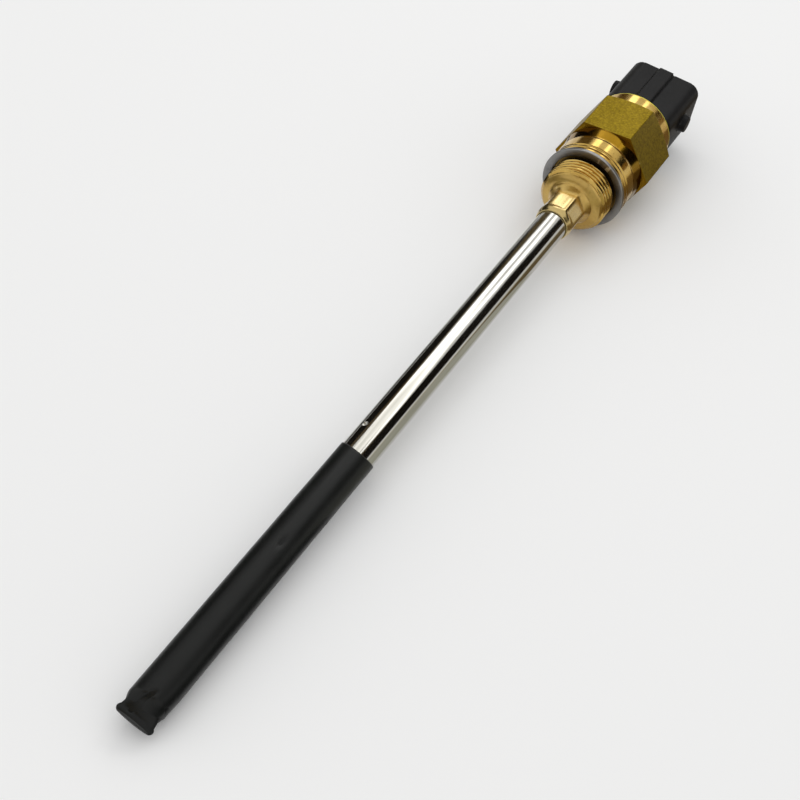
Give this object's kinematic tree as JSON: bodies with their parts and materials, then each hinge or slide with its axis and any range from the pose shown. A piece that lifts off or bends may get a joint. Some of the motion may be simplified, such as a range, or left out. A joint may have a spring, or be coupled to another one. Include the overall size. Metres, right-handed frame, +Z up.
{
  "type": "oil level sensor",
  "caption": "Screw-in oil level sensor: steel probe tube with a black sleeve, brass hexagon body with thread and sealing washer, black plug-in housing with blade terminals.",
  "frame": {"origin": "centre of the bounding box on the table that the sensor lies on", "axes": "+X along the sensor, from the sleeved tip to the connector; +Z up; the sensor's own axis rises about two degrees towards the connector"},
  "size_m": [0.2996, 0.0324, 0.0287],
  "materials": {
    "brass": "turned and milled, lightly tarnished",
    "spring_brass": "rolled",
    "steel": "polished stainless",
    "tin": "tin plated",
    "sensing_metal": "drawn wire",
    "aluminium": "dull stamped ring",
    "black_plastic": "moulded, glass filled",
    "black_sleeve": "satin shrink sleeve",
    "white_plastic": "moulded",
    "rubber": "moulded",
    "laminate": "resin laminate",
    "lead_red": "wire insulation",
    "lead_blue": "wire insulation"
  },
  "bodies": {
    "root": {"threaded_body": "brass", "sealing_washer": "aluminium", "probe_tube": "steel", "shrink_sleeve": "black_sleeve", "connector_housing": "black_plastic", "housing_seal_ring": "rubber", "tube_seal_ring": "rubber", "wire_grommet": "rubber", "upper_guide": "white_plastic", "lower_guide": "white_plastic", "carrier_strip": "laminate", "terminal_pin_1": "tin", "terminal_pin_2": "tin", "crimp_ferrule_1": "tin", "crimp_ferrule_2": "tin", "insulating_sleeve_1": "black_sleeve", "insulating_sleeve_2": "black_sleeve", "lead_wire_1": "lead_red", "lead_wire_2": "lead_blue", "contact_clip_1": "spring_brass", "contact_clip_2": "spring_brass", "sensing_wire": "sensing_metal", "wire_hook": "steel", "tension_spring": "steel"}
  },
  "joints": []
}
